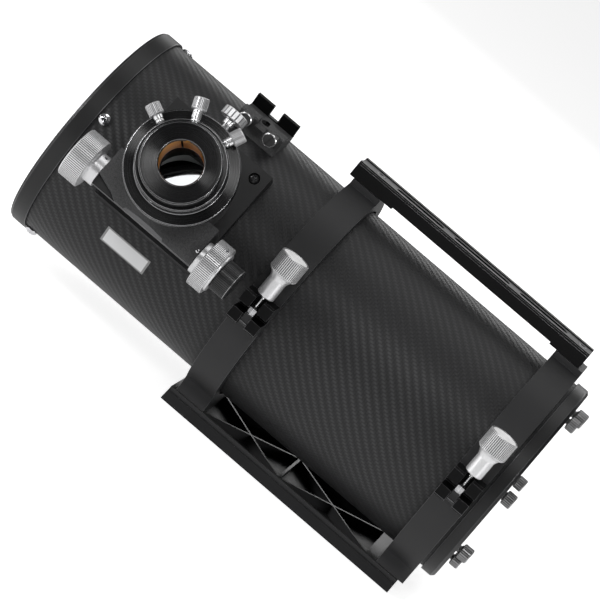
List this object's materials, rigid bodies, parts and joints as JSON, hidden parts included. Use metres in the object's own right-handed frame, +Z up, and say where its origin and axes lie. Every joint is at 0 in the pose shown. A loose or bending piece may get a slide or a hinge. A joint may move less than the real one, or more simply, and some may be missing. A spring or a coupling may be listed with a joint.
{
  "type": "newtonian telescope tube assembly",
  "caption": "Carbon-tube Newtonian astrograph in hinged clamp rings, with dovetail plate, handle rail, two-speed focuser, finder shoe and collimation knobs.",
  "frame": {"origin": "centre of the dovetail plate underside", "axes": "+X along the tube towards the primary mirror, -Y the side the focuser and clamp knobs are on, +Z up to the handle rail"},
  "size_m": [0.431, 0.3041, 0.2293],
  "materials": {
    "carbon": "carbon-fibre twill under a semi-matt clear coat",
    "satin_black": "satin black anodised",
    "ring_grey": "fine matt black-grey anodised",
    "gloss_black": "bright black anodised, turned",
    "textured_black": "textured black powder coat",
    "silver": "clear anodised, knurled grip",
    "steel": "turned",
    "chrome": "bright plated",
    "dark_steel": "black oxide",
    "brass": "spring brass, bright",
    "felt": "black felt",
    "mirror": "aluminised glass",
    "matte_black": "flat black"
  },
  "bodies": {
    "rings": {"dovetail_plate": "ring_grey", "foot_screw_front": "dark_steel", "foot_screw_rear": "dark_steel", "ring_lower_front": "ring_grey", "ring_lower_rear": "ring_grey", "ring_upper_front": "ring_grey", "ring_upper_rear": "ring_grey", "hinge_pin_front": "steel", "hinge_pin_rear": "steel", "felt_front": "felt", "felt_rear": "felt", "clamp_pivot_front": "dark_steel", "clamp_pivot_rear": "dark_steel", "top_rail": "satin_black", "rail_screw_front": "dark_steel", "rail_screw_rear": "dark_steel"},
    "tube": {"optical_tube": "carbon", "front_end_ring": "satin_black", "rear_end_ring": "satin_black", "vane_screw_1": "chrome", "vane_screw_2": "chrome", "vane_screw_3": "chrome", "vane_screw_4": "chrome", "spider": "satin_black", "secondary_holder": "matte_black", "secondary_mirror": "mirror", "focuser_base": "satin_black", "focuser_body": "textured_black", "base_screw": "dark_steel", "finder_shoe": "textured_black", "shoe_screw": "dark_steel", "primary_mirror": "mirror", "mirror_cell": "satin_black"},
    "bolt_front": {"swing_bolt_front": "steel"},
    "clamp_knob_front": {"clamp_knob_front": "silver"},
    "bolt_rear": {"swing_bolt_rear": "steel"},
    "clamp_knob_rear": {"clamp_knob_rear": "silver"},
    "drawtube": {"drawtube": "satin_black", "clamp_flange": "gloss_black", "eyepiece_adapter": "gloss_black", "compression_ring": "brass"},
    "thumb_1": {"thumb_screw_1": "silver"},
    "thumb_2": {"thumb_screw_2": "silver"},
    "thumb_3": {"thumb_screw_3": "silver"},
    "lock_knob": {"lock_knob": "silver"},
    "coarse": {"pinion_shaft": "steel", "coarse_knob_left": "silver", "coarse_knob_right": "silver"},
    "fine": {"fine_knob": "gloss_black"},
    "shoe_thumb_1": {"shoe_thumb_1": "satin_black"},
    "shoe_thumb_2": {"shoe_thumb_2": "satin_black"},
    "secondary_screw_1": {"secondary_screw_1": "dark_steel"},
    "secondary_screw_2": {"secondary_screw_2": "dark_steel"},
    "secondary_screw_3": {"secondary_screw_3": "dark_steel"},
    "collimation_1": {"collimation_knob_1": "silver"},
    "lock_1": {"lock_screw_1": "silver"},
    "collimation_2": {"collimation_knob_2": "silver"},
    "lock_2": {"lock_screw_2": "silver"},
    "collimation_3": {"collimation_knob_3": "silver"},
    "lock_3": {"lock_screw_3": "silver"}
  },
  "joints": [
    {"name": "tube_rotation", "type": "hinge", "parent": "rings", "child": "tube", "pos_m": [0, 0, 0.1123], "axis": [1, 0, 0], "continuous": true},
    {"name": "bolt_front_swing", "type": "hinge", "parent": "rings", "child": "bolt_front", "pos_m": [-0.094, -0.112, 0.1018], "axis": [1, 0, 0], "range_deg": [0, 90]},
    {"name": "clamp_knob_front_spin", "type": "hinge", "parent": "bolt_front", "child": "clamp_knob_front", "pos_m": [-0.094, -0.112, 0.1423], "axis": [0, 0, 1], "range_deg": [0, 360]},
    {"name": "bolt_rear_swing", "type": "hinge", "parent": "rings", "child": "bolt_rear", "pos_m": [0.103, -0.112, 0.1018], "axis": [1, 0, 0], "range_deg": [0, 90]},
    {"name": "clamp_knob_rear_spin", "type": "hinge", "parent": "bolt_rear", "child": "clamp_knob_rear", "pos_m": [0.103, -0.112, 0.1423], "axis": [0, 0, 1], "range_deg": [0, 360]},
    {"name": "focus_travel", "type": "slide", "parent": "tube", "child": "drawtube", "axis": [0, -0.9455, 0.3256], "range_m": [-0.007, 0.023]},
    {"name": "thumb_1_spin", "type": "hinge", "parent": "drawtube", "child": "thumb_1", "pos_m": [-0.22954, -0.16338, 0.18576], "axis": [-0.9135, 0.1324, 0.3846], "range_deg": [0, 360]},
    {"name": "thumb_2_spin", "type": "hinge", "parent": "drawtube", "child": "thumb_2", "pos_m": [-0.20863, -0.16567, 0.20829], "axis": [-0.3907, 0.2997, 0.8704], "range_deg": [0, 360]},
    {"name": "thumb_3_spin", "type": "hinge", "parent": "drawtube", "child": "thumb_3", "pos_m": [-0.17802, -0.15661, 0.20545], "axis": [0.3746, 0.3019, 0.8767], "range_deg": [0, 360]},
    {"name": "lock_knob_spin", "type": "hinge", "parent": "tube", "child": "lock_knob", "pos_m": [-0.193, -0.1142, 0.2045], "axis": [0, 0.3256, 0.9455], "range_deg": [0, 360]},
    {"name": "coarse_focus", "type": "hinge", "parent": "tube", "child": "coarse", "pos_m": [-0.193, -0.13245, 0.12079], "axis": [1, 0, 0], "range_deg": [-70.8, 223.6]},
    {"name": "fine_focus", "type": "hinge", "parent": "tube", "child": "fine", "pos_m": [-0.121, -0.13245, 0.12079], "axis": [1, 0, 0], "range_deg": [-708, 2236]},
    {"name": "shoe_thumb_1_spin", "type": "hinge", "parent": "tube", "child": "shoe_thumb_1", "pos_m": [-0.194, -0.0452, 0.20462], "axis": [0, -0.9613, -0.2756], "range_deg": [0, 360]},
    {"name": "shoe_thumb_2_spin", "type": "hinge", "parent": "tube", "child": "shoe_thumb_2", "pos_m": [-0.17, -0.0452, 0.20462], "axis": [0, -0.9613, -0.2756], "range_deg": [0, 360]},
    {"name": "secondary_screw_1_spin", "type": "hinge", "parent": "tube", "child": "secondary_screw_1", "pos_m": [-0.275, 0, 0.1228], "axis": [-1, 0, 0], "range_deg": [-180, 180]},
    {"name": "secondary_screw_2_spin", "type": "hinge", "parent": "tube", "child": "secondary_screw_2", "pos_m": [-0.275, -0.00909, 0.10705], "axis": [-1, 0, 0], "range_deg": [-180, 180]},
    {"name": "secondary_screw_3_spin", "type": "hinge", "parent": "tube", "child": "secondary_screw_3", "pos_m": [-0.275, 0.00909, 0.10705], "axis": [-1, 0, 0], "range_deg": [-180, 180]},
    {"name": "collimation_knob_1_spin", "type": "hinge", "parent": "tube", "child": "collimation_1", "pos_m": [0.125, -0.0132, 0.18715], "axis": [1, 0, 0], "range_deg": [-360, 360]},
    {"name": "lock_screw_1_spin", "type": "hinge", "parent": "tube", "child": "lock_1", "pos_m": [0.125, -0.02785, 0.18301], "axis": [1, 0, 0], "range_deg": [0, 360]},
    {"name": "collimation_knob_2_spin", "type": "hinge", "parent": "tube", "child": "collimation_2", "pos_m": [0.125, -0.05822, 0.06345], "axis": [1, 0, 0], "range_deg": [-360, 360]},
    {"name": "lock_screw_2_spin", "type": "hinge", "parent": "tube", "child": "lock_2", "pos_m": [0.125, -0.04731, 0.05282], "axis": [1, 0, 0], "range_deg": [0, 360]},
    {"name": "collimation_knob_3_spin", "type": "hinge", "parent": "tube", "child": "collimation_3", "pos_m": [0.125, 0.07142, 0.08631], "axis": [1, 0, 0], "range_deg": [-360, 360]},
    {"name": "lock_screw_3_spin", "type": "hinge", "parent": "tube", "child": "lock_3", "pos_m": [0.125, 0.07516, 0.10107], "axis": [1, 0, 0], "range_deg": [0, 360]}
  ],
  "couplings": [
    {"joint": "coarse_focus", "follows": "focus_travel", "rad_per_m": 166.67},
    {"joint": "fine_focus", "follows": "focus_travel", "rad_per_m": 1666.7}
  ]
}
